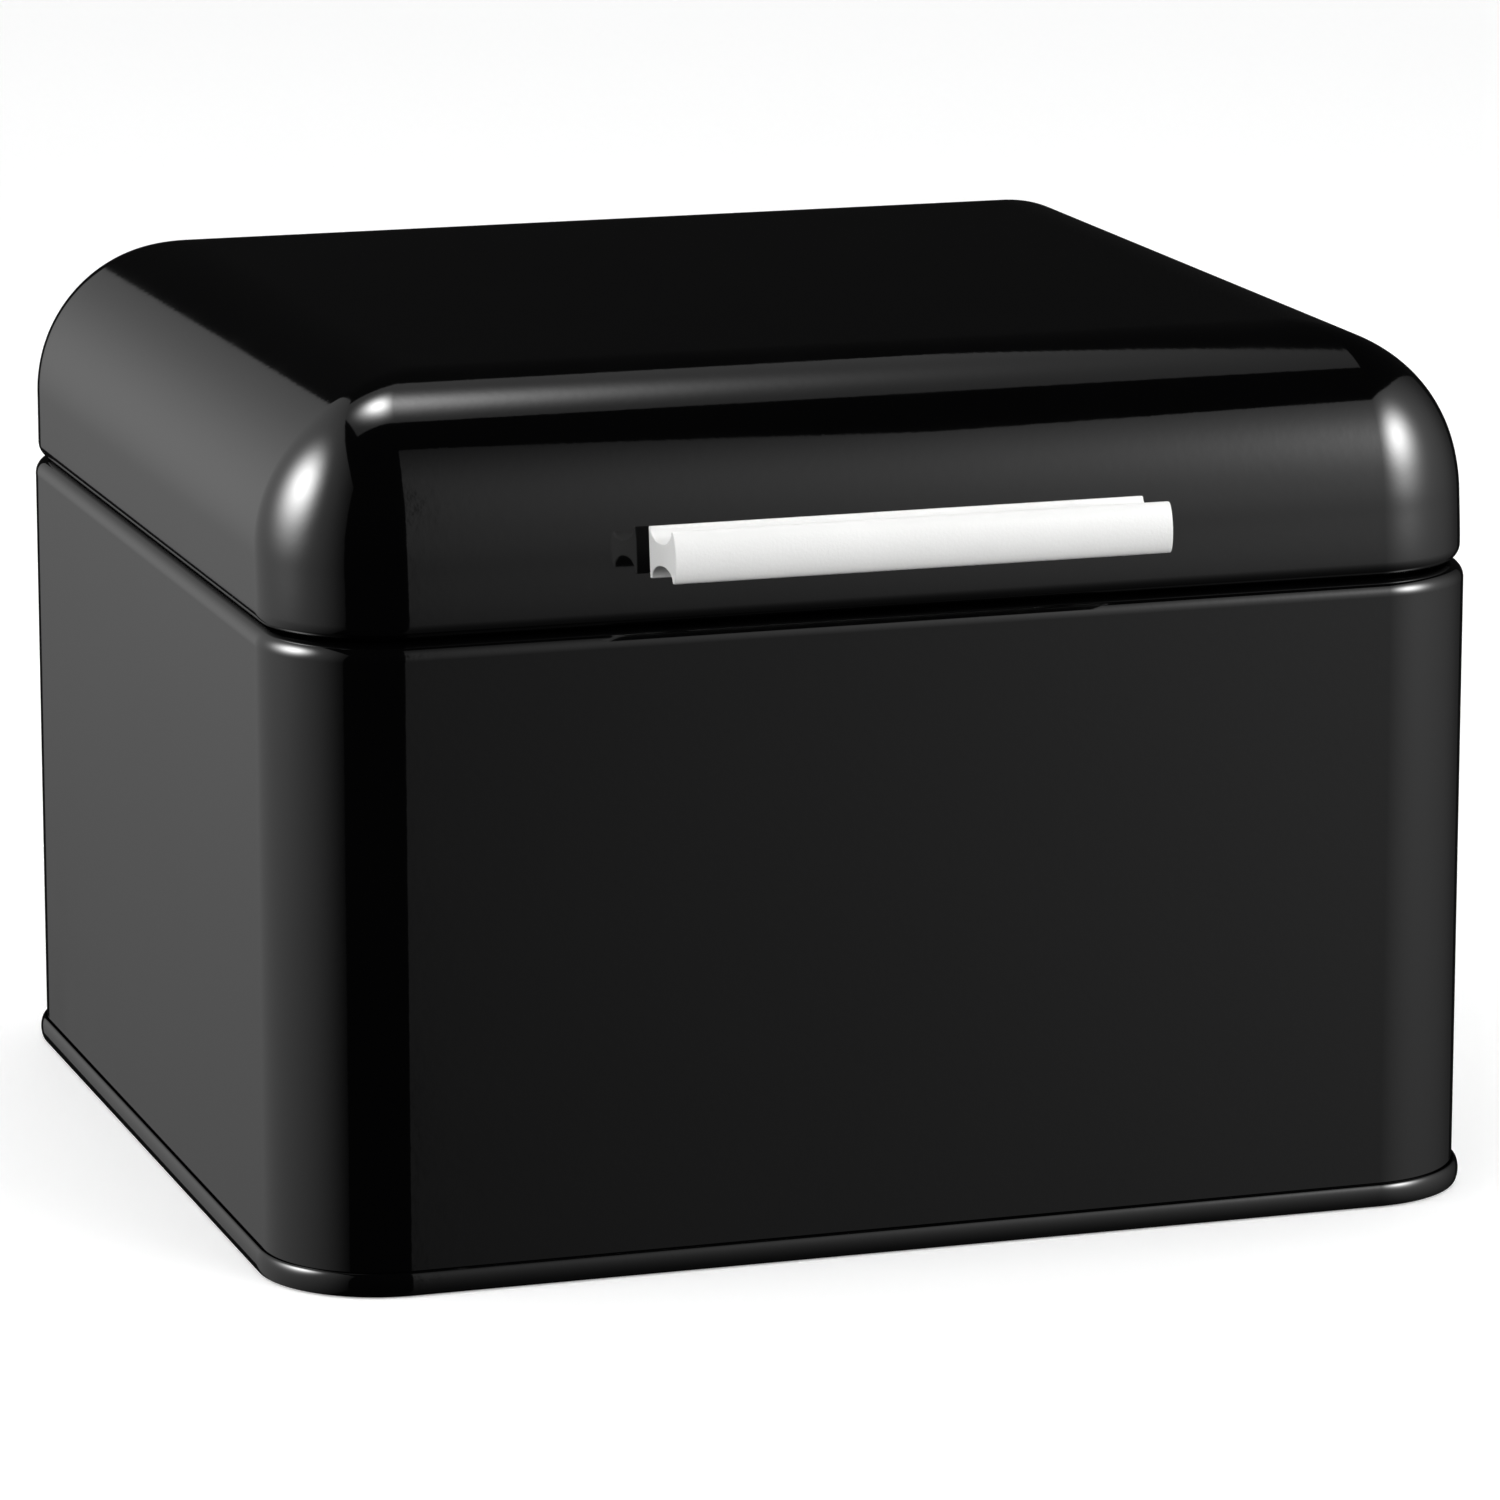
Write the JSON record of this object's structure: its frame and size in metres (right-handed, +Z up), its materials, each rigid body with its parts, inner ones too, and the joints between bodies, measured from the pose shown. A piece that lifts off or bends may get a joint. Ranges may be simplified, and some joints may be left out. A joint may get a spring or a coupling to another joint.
{
  "type": "hinged storage tin",
  "caption": "Rounded black sheet steel storage box with a rear-hinged domed-edge lid and a white grooved bar handle on the lid's front.",
  "frame": {"origin": "middle of the underside of the whole object's bounding box, on the surface it stands on", "axes": "+Z up, the handle and the opening edge of the lid face -Y, the hinges are at +Y, +X to the right of a user facing the handle"},
  "size_m": [0.3032, 0.314, 0.2122],
  "materials": {
    "black_enamel": "high-gloss black enamel on sheet steel",
    "white_paint": "satin white powder coat on an extruded bar",
    "black_hinge": "semi-gloss black painted steel",
    "zinc_steel": "zinc plated steel",
    "nylon": "natural white nylon"
  },
  "bodies": {
    "body": {"body_wall": "black_enamel", "base_pan": "black_enamel", "body_collar": "black_enamel", "hinge_left_body_leaf": "black_hinge", "hinge_left_pin": "zinc_steel", "hinge_left_body_rivet_1": "zinc_steel", "hinge_left_body_rivet_2": "zinc_steel", "hinge_right_body_leaf": "black_hinge", "hinge_right_pin": "zinc_steel", "hinge_right_body_rivet_1": "zinc_steel", "hinge_right_body_rivet_2": "zinc_steel"},
    "lid": {"lid_shell": "black_enamel", "handle_bar": "white_paint", "handle_spacer_left": "nylon", "handle_washer_left": "zinc_steel", "handle_screw_left": "zinc_steel", "hinge_left_lid_leaf": "black_hinge", "hinge_left_lid_rivet_1": "zinc_steel", "hinge_left_lid_rivet_2": "zinc_steel", "handle_spacer_right": "nylon", "handle_washer_right": "zinc_steel", "handle_screw_right": "zinc_steel", "hinge_right_lid_leaf": "black_hinge", "hinge_right_lid_rivet_1": "zinc_steel", "hinge_right_lid_rivet_2": "zinc_steel"}
  },
  "joints": [
    {"name": "lid_hinge", "type": "hinge", "parent": "body", "child": "lid", "pos_m": [0, 0.14995, 0.155], "axis": [-1, 0, 0], "range_deg": [0, 100]}
  ]
}
